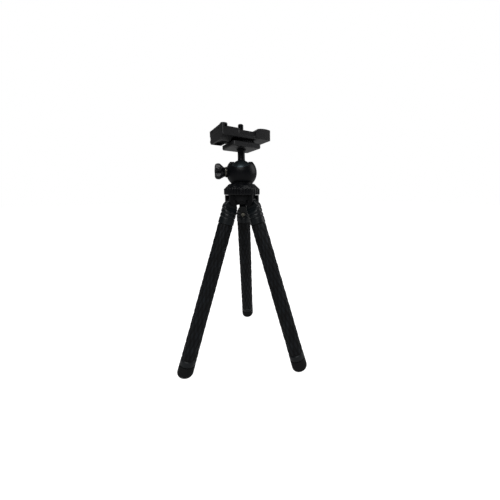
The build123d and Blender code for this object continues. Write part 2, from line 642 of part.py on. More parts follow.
def end_cap():
    """The plate on the fixed end, above the parting groove."""
    half = CLAMP_WIDTH / 2
    cap = block(FIXED_END, FIXED_END + END_CAP_THICKNESS - SEAT,
                -half + 2 * CORNER_POST_RADIUS + SEAT, half,
                FLOOR_Z + END_CAP_BOTTOM + 0.5, FLOOR_Z + END_WALL_HEIGHT)
    cap = chamfer(cap.edges().filter_by(Axis.Y).group_by(Axis.X)[0], 0.4)
    for place in end_screw_places():
        cap -= place * lying(END_SCREW_HEAD / 2 + RUNNING, 2.4, "x")
        cap -= place * lying(CLAMP_BOLT_RADIUS / 2 + RUNNING, 10, "x")
    return cap


def end_screws():
    """The two small screws of the end cap, sunk below its face."""
    head = Pos(0.8, 0, 0) * lying(END_SCREW_HEAD / 2, 0.8, "x")
    shank = Pos(2.6, 0, 0) * lying(CLAMP_BOLT_RADIUS / 2, 4.0, "x")
    screw = head + shank - Pos(0.4, 0, 0) * Box(0.8, 0.5, 2.4)
    return Compound([place * screw for place in end_screw_places()])


def sliding_jaw():
    """The block at the other end, with two bars that run in the floor's channels."""
    half = CLAMP_WIDTH / 2
    end = JAW_FACE + JAW_LENGTH
    low = FLOOR_Z + JAW_UNDERSIDE
    high = FLOOR_Z + JAW_HEIGHT
    corner = 2.2
    crown = ThreePointArc((JAW_FACE + corner, 0, high - JAW_CROWN),
                          ((JAW_FACE + end) / 2 + 1, 0, high), (end, 0, high - JAW_CROWN / 2))
    edges = [Line((JAW_FACE, 0, low), (end, 0, low)), Line((end, 0, low), crown @ 1), crown,
             Line(crown @ 0, (JAW_FACE, 0, high - JAW_CROWN - corner)),
             Line((JAW_FACE, 0, high - JAW_CROWN - corner), (JAW_FACE, 0, low))]
    jaw = extrude(make_face(edges), half, both=True)
    jaw = fillet(jaw.edges().filter_by(Axis.Z).group_by(Axis.X)[-1], CLAMP_CORNER)
    jaw -= dovetail_groove(JAW_FACE, 1)
    bar_end = JAW_FACE - BAR_LENGTH
    for side in (-1, 1):
        near, far = sorted((side * BAR_INNER, side * BAR_OUTER))
        jaw += block(bar_end, JAW_FACE + 1, near, far, BAR_Z, BAR_Z + BAR_THICKNESS)
    cam_x = -CAM_ORBIT * sin(radians(CAM_HALF_TURN))
    lowest = CAM_ORBIT * cos(radians(CAM_HALF_TURN)) - CAM_RADIUS - SLIDING
    highest = CAM_ORBIT + CAM_RADIUS + SLIDING
    width = CAM_RADIUS + RUNNING
    jaw -= block(cam_x - width, cam_x + width, -highest, -lowest, BAR_Z, BAR_Z + BAR_THICKNESS)
    notch = Pos(end, -half, FLOOR_Z + 8.2) * Cylinder(1.0, 3.0)
    return jaw - notch


def plate_outline():
    """The camera plate's end view: dovetail flanks under a straight slab."""
    left, right = FIXED_FACE + SEAT, JAW_FACE - SEAT
    tip = PLATE_Z + 0.6
    top = PLATE_Z + PLATE_THICKNESS
    return [(left - DOVETAIL, PLATE_Z), (right + DOVETAIL, PLATE_Z), (right + DOVETAIL, tip),
            (right, tip + DOVETAIL), (right, top), (left, top), (left, tip + DOVETAIL),
            (left - DOVETAIL, tip)]


def camera_plate():
    """The quick-release plate with its raised middle."""
    section = make_face(Polyline(*[(x, 0, h) for x, h in plate_outline()], close=True))
    plate = extrude(section, PLATE_WIDTH / 2, both=True)
    left, right = FIXED_FACE + SEAT, JAW_FACE - SEAT
    riser = rounded_plate(left + 0.6, right - 0.6, -RISER_WIDTH / 2, RISER_WIDTH / 2,
                          PLATE_Z + PLATE_THICKNESS, RISER_HEIGHT, 1.5)
    plate += riser
    plate -= disc(SCREW_HEAD_RADIUS + LOOSE, PLATE_Z, SCREW_HEAD + LOOSE)
    plate -= disc(CAMERA_SCREW_RADIUS + RUNNING, PLATE_Z, PAD_Z - PLATE_Z)
    return plate - disc(CLIP_RADIUS + LOOSE, PAD_Z - CLIP_THICKNESS - SLIDING, 5)


def plate_pad():
    """The rubber pad on the plate, with shallow grooves along it."""
    left, right = FIXED_FACE + SEAT, JAW_FACE - SEAT
    half = RISER_WIDTH / 2
    pad = rounded_plate(left + 0.6, right - 0.6, -half, half, PAD_Z, PAD_THICKNESS, 1.5)
    for y in (-4.8, 4.8):
        pad -= block(left, right, y - 0.4, y + 0.4, PAD_Z + PAD_THICKNESS - 0.5, PAD_Z + 5)
    return pad - disc(CAMERA_SCREW_RADIUS + LOOSE, PAD_Z, PAD_THICKNESS)


def camera_screw():
    """The camera screw: a slotted head in the plate's pocket, a thin neck and a quarter inch thread."""
    z = PLATE_Z + 0.1
    seat = PAD_Z + PAD_THICKNESS
    head = disc(SCREW_HEAD_RADIUS, z, SCREW_HEAD)
    slot = Pos(0, 0, z + 0.5) * Box(2 * SCREW_HEAD_RADIUS, 1.4, 1.0)
    neck = disc(SCREW_NECK_RADIUS, z + SCREW_HEAD, seat - z - SCREW_HEAD)
    thread = disc(CAMERA_SCREW_RADIUS, seat, CAMERA_SCREW_RISE)
    thread = chamfer(thread.edges().group_by(Axis.Z)[-1], 0.9)
    return head - slot + neck + thread


def screw_clip():
    """The snap ring round the screw's neck that keeps it in its plate."""
    z = PAD_Z - CLIP_THICKNESS
    clip = disc(CLIP_RADIUS, z, CLIP_THICKNESS - RUNNING)
    clip -= disc(SCREW_NECK_RADIUS + RUNNING, z, CLIP_THICKNESS)
    return clip - block(0, CLIP_RADIUS + 1, -1.5, 1.5, z, z + CLIP_THICKNESS)


def clamp_bolt():
    """The socket screw through floor, post and foot into the stem."""
    top = FLOOR_Z + FLOOR_THICKNESS - SEAT
    head = disc(CLAMP_BOLT_HEAD_RADIUS, top - CLAMP_BOLT_HEAD, CLAMP_BOLT_HEAD)
    socket = extrude(Pos(0, 0, top) * RegularPolygon(1.5, 6), -1.2)
    low = top - CLAMP_BOLT_HEAD - CLAMP_BOLT_LENGTH
    return head - socket + disc(CLAMP_BOLT_RADIUS, low, CLAMP_BOLT_LENGTH)


def make_hub():
    """Hub pieces by node name."""
    return {"hub_body": hub_body(), "leg_pins": leg_pins(), "pressure_disc": pressure_disc(),
            "lock_ring": lock_ring(), "centre_bolt": centre_bolt(), "bolt_washer": bolt_washer()}


def make_ball_head():
    """Ball head pieces by node name."""
    return {"ball_housing": ball_housing(), "ball_seat": ball_seat(), "ball_stem": ball_stem(),
            "lock_plunger": lock_plunger(), "lock_screw": lock_screw(),
            "knob_washer": knob_washer(), "lock_knob": lock_knob()}


def make_clamp():
    """Clamp pieces by node name."""
    return {"clamp_foot": clamp_foot(), "clamp_wheel": lock_wheel(), "cam_pin": cam_pin(),
            "clamp_body": clamp_body(), "post_screw": post_screw(), "end_cap": end_cap(),
            "end_screws": end_screws(), "sliding_jaw": sliding_jaw(),
            "camera_plate": camera_plate(), "plate_pad": plate_pad(),
            "camera_screw": camera_screw(), "screw_clip": screw_clip(), "clamp_bolt": clamp_bolt()}


def main():
    """Builds every piece and writes one STEP file for each."""
    os.makedirs("parts", exist_ok=True)
    nodes = {**make_legs(), **make_hub(), **make_ball_head(), **make_clamp()}
    for name, shape in nodes.items():
        export_step(shape, f"parts/{name}.step")
        print(f"{name}: {shape.volume / 1000:.2f} cm3")


main()
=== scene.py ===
"""Looks of a small tripod: three bending legs, a locking hub, a ball head and a camera clamp.

Sizes are millimetres until a mesh is made, where MM turns them into metres. Heights and places
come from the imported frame. +Z is up, and +X runs along the clamp from its fixed end to its jaw.
"""

import json
import logging
from dataclasses import dataclass, field
from enum import Enum
from math import cos, pi, radians, sin, sqrt, tan
from typing import Sequence

import bmesh
import bpy
import numpy as np
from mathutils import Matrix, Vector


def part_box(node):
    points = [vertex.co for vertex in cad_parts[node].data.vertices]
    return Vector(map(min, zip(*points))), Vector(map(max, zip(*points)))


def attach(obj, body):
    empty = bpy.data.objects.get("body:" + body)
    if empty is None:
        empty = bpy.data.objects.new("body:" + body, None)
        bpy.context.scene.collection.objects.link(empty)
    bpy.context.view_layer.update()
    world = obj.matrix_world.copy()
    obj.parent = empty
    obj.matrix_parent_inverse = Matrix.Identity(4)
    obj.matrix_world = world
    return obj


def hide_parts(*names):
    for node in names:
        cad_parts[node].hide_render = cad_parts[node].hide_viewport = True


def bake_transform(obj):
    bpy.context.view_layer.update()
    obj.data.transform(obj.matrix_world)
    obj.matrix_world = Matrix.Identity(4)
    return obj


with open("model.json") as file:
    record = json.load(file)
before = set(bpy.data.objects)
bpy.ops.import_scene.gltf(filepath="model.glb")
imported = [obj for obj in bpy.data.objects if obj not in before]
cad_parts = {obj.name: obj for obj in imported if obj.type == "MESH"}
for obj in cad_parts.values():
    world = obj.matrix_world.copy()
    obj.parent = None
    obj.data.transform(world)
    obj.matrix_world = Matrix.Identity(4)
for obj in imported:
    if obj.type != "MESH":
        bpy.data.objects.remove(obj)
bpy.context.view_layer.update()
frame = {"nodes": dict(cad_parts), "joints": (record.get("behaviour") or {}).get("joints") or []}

MM = 0.001
Array = np.ndarray
log = logging.getLogger("tripod")


class Slot(Enum):
    """The record's material slots."""

    CAP = "cap_plastic"
    SLEEVE = "sleeve_rubber"
    FOOT = "foot_rubber"
    CORE = "core_metal"
    HUB = "hub_plastic"
    RING = "ring_plastic"
    BRIGHT = "bright_steel"
    DARK = "dark_steel"
    BALL = "ball_metal"
    HEAD = "head_metal"
    CLAMP = "clamp_metal"
    CLAMP_FOOT = "clamp_foot_metal"
    PAD = "pad_rubber"
    LINER = "liner_plastic"


# Colour and nodes


def linear(colour: str) -> tuple[float, float, float, float]:
    """Turns an sRGB hex colour into linear light.

    Args:
        colour: Six hex digits, such as "1c1d20".

    Returns:
        Linear red, green and blue, and an alpha of 1.
    """
    srgb = np.array([int(colour[i:i + 2], 16) for i in (0, 2, 4)]) / 255
    light = np.where(srgb <= 0.04045, srgb / 12.92, ((srgb + 0.055) / 1.055) ** 2.4)
    return (*light.tolist(), 1.0)


def per_metre(size: float) -> float:
    """Pattern repeats in a metre for a feature of that many millimetres."""
    return 1 / (size * MM)


def add_node(tree: bpy.types.NodeTree, kind: str, inputs: dict | None = None,
             settings: dict | None = None) -> bpy.types.Node:
    """Adds one node with its settings, values and links.

    Args:
        tree: The node tree that it goes into.
        kind: The node's type name.
        inputs: Socket name or number to a value, or to the socket that feeds it.
        settings: Property name to value.

    Returns:
        The new node.
    """
    node = tree.nodes.new(kind)
    for key, value in (settings or {}).items():
        setattr(node, key, value)
    for key, value in (inputs or {}).items():
        if isinstance(value, bpy.types.NodeSocket):
            tree.links.new(value, node.inputs[key])
        else:
            node.inputs[key].default_value = value
    return node


# Finishes


def noise(tree: bpy.types.NodeTree, place: bpy.types.NodeSocket, size: float,
          detail: float) -> bpy.types.NodeSocket:
    """Value of a noise whose spots are about size millimetres wide."""
    return add_node(tree, "ShaderNodeTexNoise", {
        "Vector": place, "Scale": per_metre(size), "Detail": detail}).outputs["Fac"]


@dataclass(frozen=True)
class Finish:
    """A surface finish. Each kind adds its own pattern to the shared shader.

    The pattern mixes colour with pale, which is what shows on wear spots and dust, on bark crowns as
    wear and painted sheen, and on powder-coat speckle as a painted highlight on its high points.
    """

    name: str
    colour: str
    pale: str
    roughness: float
    metallic: float = 0.0
    specular: float = 0.5
    grain: float = 0.4
    relief: float = 0.02

    def build(self) -> bpy.types.Material:
        """Makes the material.

        Returns:
            The finished material.
        """
        material = bpy.data.materials.new(self.name)
        material.use_nodes = True
        tree = material.node_tree
        tree.nodes.clear()
        place = add_node(tree, "ShaderNodeTexCoord").outputs["Object"]
        shader = add_node(tree, "ShaderNodeBsdfPrincipled", {
            "Metallic": self.metallic, "Specular IOR Level": self.specular})
        add_node(tree, "ShaderNodeOutputMaterial", {"Surface": shader.outputs["BSDF"]})
        self.pattern(tree, shader, place)
        return material

    def pattern(self, tree: bpy.types.NodeTree, shader: bpy.types.Node,
                place: bpy.types.NodeSocket) -> None:
        """Adds the finish's own colour, roughness and relief.

        Args:
            tree: The material's node tree.
            shader: The shader whose sockets the pattern feeds.
            place: Coordinates in metres.
        """
        raise NotImplementedError

    def coat(self, tree: bpy.types.NodeTree, shader: bpy.types.Node, share: bpy.types.NodeSocket,
             gloss: bpy.types.NodeSocket, height: bpy.types.NodeSocket,
             under: bpy.types.NodeSocket | None = None) -> None:
        """Links the colour, the gloss and the relief to the shader.

        Args:
            tree: The material's nodes.
            shader: The surface shader.
            share: Share of the pale colour.
            gloss: Roughness.
            height: Height of the relief.
            under: Normal of a coarser relief below it.
        """
        tone = add_node(tree, "ShaderNodeMix", {
            "Factor": share, "A": linear(self.colour), "B": linear(self.pale)},
            {"data_type": "RGBA"})
        inputs = {"Height": height, "Distance": self.relief * MM, "Strength": 1.0}
        bump = add_node(tree, "ShaderNodeBump", inputs | ({"Normal": under} if under else {}))
        tree.links.new(tone.outputs["Result"], shader.inputs["Base Color"])
        tree.links.new(gloss, shader.inputs["Roughness"])
        tree.links.new(bump.outputs["Normal"], shader.inputs["Normal"])


@dataclass(frozen=True)
class MouldedNylon(Finish):
    """Glass-filled nylon from a spark-eroded mould: an even, fine sandy grain, with slow drifts
    in gloss where the melt flowed."""

    drift: float = 14.0

    def pattern(self, tree: bpy.types.NodeTree, shader: bpy.types.Node,
                place: bpy.types.NodeSocket) -> None:
        """Sandy grain in relief, and a slow drift in gloss and colour."""
        sand = noise(tree, place, self.grain, 3.0)
        flow = noise(tree, place, self.drift, 2.0)
        gloss = add_node(tree, "ShaderNodeMapRange", {
            "Value": flow, "From Min": 0.3, "From Max": 0.7,
            "To Min": self.roughness - 0.06, "To Max": self.roughness + 0.06})
        self.coat(tree, shader, flow, gloss.outputs["Result"],
                  sand)


@dataclass(frozen=True)
class BarkRubber(Finish):
    """Moulded rubber with a bark of staggered lozenges: the crowns are painted greyer, partly as
    handling wear and partly as painted sheen, and are a little smoother, and the grooves between them
    are painted black as painted shade, and dull."""

    def pattern(self, tree: bpy.types.NodeTree, shader: bpy.types.Node,
                place: bpy.types.NodeSocket) -> None:
        """Colour and gloss follow the mesh's own relief, broken up by a fine grain: painted shade in
        the grooves, and paler crowns that are partly wear and partly painted sheen.
        """
        height = add_node(tree, "ShaderNodeAttribute", settings={"attribute_name": "relief"})
        skin = noise(tree, place, self.grain, 4.0)
        handled = noise(tree, place, 9.0, 2.0)
        # Painted shade: relief times the patch noise keeps the grooves dark and pales the crowns,
        # partly as wear, partly as painted sheen.
        crown_wear_and_groove_shade = add_node(tree, "ShaderNodeMath", {
            0: height.outputs["Fac"], 1: handled}, {"operation": "MULTIPLY"})
        share = add_node(tree, "ShaderNodeMapRange", {
            "Value": crown_wear_and_groove_shade.outputs["Value"], "From Min": 0.1, "From Max": 0.62})
        gloss = add_node(tree, "ShaderNodeMapRange", {
            "Value": share.outputs["Result"], "To Min": self.roughness + 0.15,
            "To Max": self.roughness})
        self.coat(tree, shader, share.outputs["Result"], gloss.outputs["Result"],
                  skin)


@dataclass(frozen=True)
class SmoothRubber(Finish):
    """Plain moulded rubber: dull, with a film of pale dust in faint patches."""

    patch: float = 6.0

    def pattern(self, tree: bpy.types.NodeTree, shader: bpy.types.Node,
                place: bpy.types.NodeSocket) -> None:
        """Dust in patches over a fine matt grain."""
        dust = noise(tree, place, self.patch, 6.0)
        film = add_node(tree, "ShaderNodeMapRange", {
            "Value": dust, "From Min": 0.45, "From Max": 0.8})
        gloss = add_node(tree, "ShaderNodeMapRange", {
            "Value": film.outputs["Result"], "To Min": self.roughness,
            "To Max": self.roughness + 0.15})
        skin = noise(tree, place, self.grain, 3.0)
        self.coat(tree, shader, film.outputs["Result"], gloss.outputs["Result"],
                  skin)


@dataclass(frozen=True)
class AnodisedAluminium(Finish):
    """Bead-blasted aluminium, dyed and anodised: a satin metal sheen in a dark tint, with tiny
    even pits."""

    def pattern(self, tree: bpy.types.NodeTree, shader: bpy.types.Node,
                place: bpy.types.NodeSocket) -> None:
        """Even pits, and a dye that takes a little unevenly."""
        pits = add_node(tree, "ShaderNodeTexVoronoi",
                        {"Vector": place, "Scale": per_metre(self.grain)})
        dye = noise(tree, place, 8.0, 2.0)
        gloss = add_node(tree, "ShaderNodeMapRange", {
            "Value": pits.outputs["Distance"], "To Min": self.roughness - 0.04,
            "To Max": self.roughness + 0.04})
        self.coat(tree, shader, dye, gloss.outputs["Result"],
                  pits.outputs["Distance"])


@dataclass(frozen=True)
class PowderCoat(Finish):
    """Baked powder coat on die-cast aluminium: soft orange peel under a finer speckle that
    breaks the reflections up."""

    peel: float = 1.3

    def pattern(self, tree: bpy.types.NodeTree, shader: bpy.types.Node,
                place: bpy.types.NodeSocket) -> None:
        """Orange peel and speckle in relief, with the speckle's high points painted a little paler as
        a painted highlight.
        """
        speckle = noise(tree, place, self.grain, 2.0)
        peel = noise(tree, place, self.peel, 1.0)
        # Painted highlight: the speckle's high points get the pale colour.
        speckle_crest_highlight = add_node(tree, "ShaderNodeMapRange", {
            "Value": speckle, "From Min": 0.4, "From Max": 0.75})
        gloss = add_node(tree, "ShaderNodeMapRange", {
            "Value": peel, "To Min": self.roughness - 0.08,
            "To Max": self.roughness + 0.08})
        wave = add_node(tree, "ShaderNodeBump", {
            "Height": peel, "Distance": 2 * self.relief * MM, "Strength": 1.0})
        self.coat(tree, shader, speckle_crest_highlight.outputs["Result"], gloss.outputs["Result"],
                  speckle, wave.outputs["Normal"])


@dataclass(frozen=True)
class TreatedSteel(Finish):
    """Turned steel, plated or blackened: fine tool marks, and a coat that varies in patches."""

    patch: float = 2.5

    def pattern(self, tree: bpy.types.NodeTree, shader: bpy.types.Node,
                place: bpy.types.NodeSocket) -> None:
        """Patches in the coat, and tool marks drawn out along one direction."""
        coat = noise(tree, place, self.patch, 4.0)
        drawn = add_node(tree, "ShaderNodeMapping", {"Vector": place, "Scale": (1.0, 1.0, 6.0)})
        marks = add_node(tree, "ShaderNodeTexNoise", {
            "Vector": drawn.outputs["Vector"], "Scale": per_metre(self.grain), "Detail": 2.0})
        gloss = add_node(tree, "ShaderNodeMapRange", {
            "Value": marks.outputs["Fac"], "To Min": self.roughness - 0.08,
            "To Max": self.roughness + 0.08})
        self.coat(tree, shader, coat, gloss.outputs["Result"],
                  marks.outputs["Fac"])


FINISHES = {
    Slot.CAP: MouldedNylon("cap nylon", "05090c", "0c1216", 0.36, specular=0.3),
    # Bark rubber: its dark colour fills the grooves as painted shade; its pale colour on the crowns
    # is partly wear, partly painted sheen.
    Slot.SLEEVE: BarkRubber("bark rubber", "010102", "14191e", 0.5, specular=0.2, grain=0.5),
    Slot.FOOT: SmoothRubber("foot rubber", "08090a", "121314", 0.6, specular=0.2),
    Slot.CORE: TreatedSteel("bare drawn aluminium", "a8a9ab", "c4c5c6", 0.35, metallic=1.0),
    Slot.HUB: MouldedNylon("hub nylon", "050608", "0a0b0e", 0.45, specular=0.18),
    Slot.RING: MouldedNylon("ring nylon", "040508", "090a0e", 0.3, specular=0.3),
    Slot.BRIGHT: TreatedSteel("nickel-plated steel", "76746b", "918f84", 0.36, metallic=1.0,
                              relief=0.004),
    Slot.DARK: TreatedSteel("blackened steel", "1d1d1f", "333336", 0.38, metallic=0.85,
                            relief=0.006),
    Slot.BALL: AnodisedAluminium("satin anodised ball", "2f373b", "3c4549", 0.36, metallic=0.8,
                                 grain=0.3, relief=0.008),
    Slot.HEAD: AnodisedAluminium("black anodised head", "020306", "06070b", 0.36, specular=0.16,
                                 grain=0.3, relief=0.01),
    # Powder coats: the pale colour is a painted highlight on the speckle's high points.
    Slot.CLAMP: PowderCoat("clamp powder coat", "0e0e10", "18181b", 0.45, specular=0.45,
                           grain=0.45),
    Slot.CLAMP_FOOT: PowderCoat("foot powder coat", "141416", "202023", 0.42, specular=0.5,
                                grain=0.45),
    Slot.PAD: SmoothRubber("pad rubber", "101011", "1c1c1d", 0.65, specular=0.25, patch=4.0),
    Slot.LINER: MouldedNylon("natural acetal", "d8d6cc", "e4e2d9", 0.4),
}


# Surfaces


@dataclass
class Grid:
    """Points in rows and columns, in millimetres.

    Attributes:
        points: Array of rows, columns and three coordinates.
        ring: Whether the last row joins the first. Columns always close on themselves.
        relief: Height of each point, which turns each cell's diagonal along its groove.
    """

    points: Array
    ring: bool = False
    relief: Array | None = None

    def faces(self, first: int) -> list[list[int]]:
        """Corner numbers of every face.

        Args:
            first: Number of the grid's first point in the mesh.

        Returns:
            Four corners a cell, or two triangles where the grid has a relief.
        """
        rows, columns = self.points.shape[:2]
        index = np.arange(rows * columns).reshape(rows, columns)
        index = np.hstack([index, index[:, :1]])
        if self.ring:
            index = np.vstack([index, index[:1]])
        corners = np.stack([index[:-1, :-1], index[:-1, 1:], index[1:, 1:], index[1:, :-1]],
                           axis=-1).reshape(-1, 4)
        if self.relief is None:
            return (corners + first).tolist()
        height = self.relief.reshape(-1)[corners]
        along = height[:, 0] + height[:, 2] < height[:, 1] + height[:, 3]
        one = np.where(along[:, None], corners[:, [0, 1, 2]], corners[:, [0, 1, 3]])
        two = np.where(along[:, None], corners[:, [0, 2, 3]], corners[:, [1, 2, 3]])
        return (np.vstack([one, two]) + first).tolist()


@dataclass(frozen=True)
class Place:
    """A local frame: its origin, and its x, y and z axes as rows."""

    origin: Array
    axes: Array

    def put(self, points: Array) -> Array:
        """Moves local points into the tripod's frame."""
        return self.origin + points @ self.axes


def joint_place(name: str) -> Array:
    """A joint's anchor in millimetres."""
    joint = next(j for j in frame["joints"] if j["name"] == name)
    return np.array(joint["pos_m"]) / MM


def joint_axis(name: str) -> Array:
    """A joint's unit axis."""
    joint = next(j for j in frame["joints"] if j["name"] == name)
    axis = np.array(joint["axis"], float)
    return axis / np.linalg.norm(axis)


def low_high(node: str) -> tuple[Array, Array]:
    """A CAD node's lowest and highest corners in millimetres."""
    low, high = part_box(node)
    return np.array(low) / MM, np.array(high) / MM


def ease(t: Array) -> Array:
    """Smooth step: 0 up to 0, 1 from 1 on, and 3t^2 - 2t^3 between."""
    t = np.clip(t, 0, 1)
    return t * t * (3 - 2 * t)


def eased(corners: Sequence[tuple[float, float]], radius: float, closed: bool = False) -> Array:
    """An outline whose corners are rounded off.

    Each corner gives way to a quadratic curve that leaves its two sides at the same distance
    from it, at most 0.45 of the shorter side.

    Args:
        corners: The outline's corners.
        radius: How far from the corner the curve starts.
        closed: Whether the last corner joins the first, and both are rounded too.

    Returns:
        Points of the outline.
    """
    point = np.array(corners, float)
    before = np.roll(point, 1, axis=0) - point
    after = np.roll(point, -1, axis=0) - point
    long_before = np.linalg.norm(before, axis=1, keepdims=True)
    long_after = np.linalg.norm(after, axis=1, keepdims=True)
    reach = np.minimum(radius, 0.45 * np.minimum(long_before, long_after))
    start = point + before / long_before * reach
    end = point + after / long_after * reach
    t = np.linspace(0, 1, 5)[None, :, None]
    curve = (1 - t) ** 2 * start[:, None] + 2 * t * (1 - t) * point[:, None] + t * t * end[:, None]
    if closed:
        return curve.reshape(-1, 2)
    return np.vstack([point[:1], curve[1:-1].reshape(-1, 2), point[-1:]])


def arc(radius: float, start: float, end: float, count: int) -> Array:
    """Points (radius, height) on a circle round the origin, between two angles in degrees up
    from the level."""
    angle = np.radians(np.linspace(start, end, count))
    return radius * np.stack([np.cos(angle), np.sin(angle)], axis=1)


def lathe(profile: Array, columns: int = 96, ring: bool = False) -> Grid:
    """Carries a profile round Z: x = r cos a, y = r sin a, z = height.

    Args:
        profile: Points of radius and height, listed upwards on the outside.
        columns: Steps round the axis.
        ring: Whether the profile is closed.

    Returns:
        The surface of revolution.
    """
    angle = np.linspace(0, 2 * pi, columns, endpoint=False)
    return Grid(wrapped(profile[:, :1] + 0 * angle, profile[:, 1:], angle), ring)


def wrapped(radius: Array, height: Array, angle: Array) -> Array:
    """Turns cylinder coordinates into points, one array each for radius, height and angle."""
    radius, height, angle = np.broadcast_arrays(radius, height, angle)
    return np.stack([radius * np.cos(angle), radius * np.sin(angle), height], axis=-1)


def fluted(profile: Array, count: int, depth: float, share: float, rim: float) -> Grid:
    """A closed profile carried round Z with flutes in its rim.

    A flute is a half sine in radius over its share of the pitch, and fades out inside the rim.

    Args:
        profile: Closed outline of radius and height.
        count: Number of flutes.
        depth: Depth of a flute.
        share: Share of the pitch that a flute takes.
        rim: Radius at which flutes have faded out.

    Returns:
        The fluted ring.
    """
    steps = 12
    angle = np.linspace(0, 2 * pi, count * steps, endpoint=False)
    phase = np.abs((count * angle / (2 * pi)) % 1 - 0.5) * 2
    flute = np.cos(np.clip(phase / share, 0, 1) * pi / 2)
    full = profile[:, 0].max() - 0.4
    reach = ease((profile[:, :1] - rim) / (full - rim))
    return Grid(wrapped(profile[:, :1] - depth * flute * reach, profile[:, 1:], angle), True)


def make_piece(name: str, grids: Sequence[Grid], slot: Slot, sharp: float = 40.0,
               place: Place | None = None) -> bpy.types.Object:
    """Builds one mesh from grids, welds it and dresses it.

    Args:
        name: The piece's name.
        grids: Its surfaces.
        slot: The finish.
        sharp: Edges that turn more than this many degrees stay sharp.
        place: Frame that the grids were built in.

    Returns:
        The new object.
    """
    points = np.vstack([grid.points.reshape(-1, 3) for grid in grids])
    starts = np.cumsum([0] + [grid.points.size // 3 for grid in grids])
    faces = [face for grid, start in zip(grids, starts) for face in grid.faces(int(start))]
    mesh = bpy.data.meshes.new(name)
    mesh.from_pydata((place.put(points) if place else points) * MM, [], faces)
    # The relief attribute also sets the bark rubber's colour: painted shade in the grooves, paler
    # crowns.
    if grids[0].relief is not None:
        relief = mesh.attributes.new("relief", "FLOAT", "POINT")
        relief.data.foreach_set("value", grids[0].relief.reshape(-1).astype(np.float32))
    return dress(weld(mesh, False), slot, sharp)


def weld(mesh: bpy.types.Mesh, flats: bool) -> bpy.types.Mesh:
    """Closes seams and poles, and turns every face outwards.

    Args:
        mesh: The mesh to change.
        flats: Whether to join triangles that lie in one plane.

    Returns:
        The same mesh.
    """
    shape = bmesh.new()
    shape.from_mesh(mesh)
    bmesh.ops.remove_doubles(shape, verts=shape.verts, dist=0.002 * MM)
    if flats:
        bmesh.ops.dissolve_limit(shape, angle_limit=radians(0.5), verts=shape.verts,
                                 edges=shape.edges)
    bmesh.ops.recalc_face_normals(shape, faces=shape.faces)
    shape.to_mesh(mesh)
    shape.free()
    return mesh


def dress(mesh: bpy.types.Mesh, slot: Slot, sharp: float) -> bpy.types.Object:
    """Makes an object of a mesh and gives it its finish.

    Args:
        mesh: The finished mesh, in metres.
        slot: The finish.
        sharp: Edges that turn more than this many degrees stay sharp.

    Returns:
        The new object.
    """
    mesh.shade_smooth()
    mesh.set_sharp_from_angle(angle=radians(sharp))
    mesh.materials.append(finish_of(slot))
    piece = bpy.data.objects.new(mesh.name, mesh)
    bpy.context.scene.collection.objects.link(piece)
    log.info("%s: %d faces", mesh.name, len(mesh.polygons))
    return piece


def finish_of(slot: Slot) -> bpy.types.Material:
    """The slot's material, built the first time that it is asked for."""
    finish = FINISHES[slot]
    return bpy.data.materials.get(finish.name) or finish.build()


def softened(name: str, node: str, slot: Slot, edge: float) -> bpy.types.Object:
    """A copy of a CAD node with welded triangles and softened edges.

    Args:
        name: The new piece's name.
        node: The CAD node that it replaces.
        slot: The finish.
        edge: Width of the softened edges.

    Returns:
        The new object.
    """
    source = frame["nodes"][node].data
    points = np.empty(len(source.vertices) * 3)
    source.vertices.foreach_get("co", points)
    corners = np.empty(len(source.loops), int)
    source.loops.foreach_get("vertex_index", corners)
    mesh = bpy.data.meshes.new(name)
    mesh.from_pydata(points.reshape(-1, 3), [], corners.reshape(-1, 3).tolist())
    piece = dress(weld(mesh, True), slot, 30.0)
    soften(piece, edge)
    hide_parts(node)
    return piece


def soften(piece: bpy.types.Object, edge: float) -> None:
    """Rounds a piece's sharp edges.

    Args:
        piece: The object.
        edge: Width of the rounding.
    """
    bevel = piece.modifiers.new("softened edges", "BEVEL")
    bevel.width = edge * MM
    bevel.segments = 2
    bevel.limit_method = "ANGLE"
    bevel.angle_limit = radians(35)
    bevel.harden_normals = True


def dress_nodes(nodes: dict[str, Slot]) -> None:
    """Gives CAD nodes that stay as they are their finish."""
    for node, slot in nodes.items():
        for place in frame["nodes"][node].material_slots:
            place.link = "OBJECT"
            place.material = finish_of(slot)
        log.info("%s: CAD node in %s", node, slot.value)


# Legs


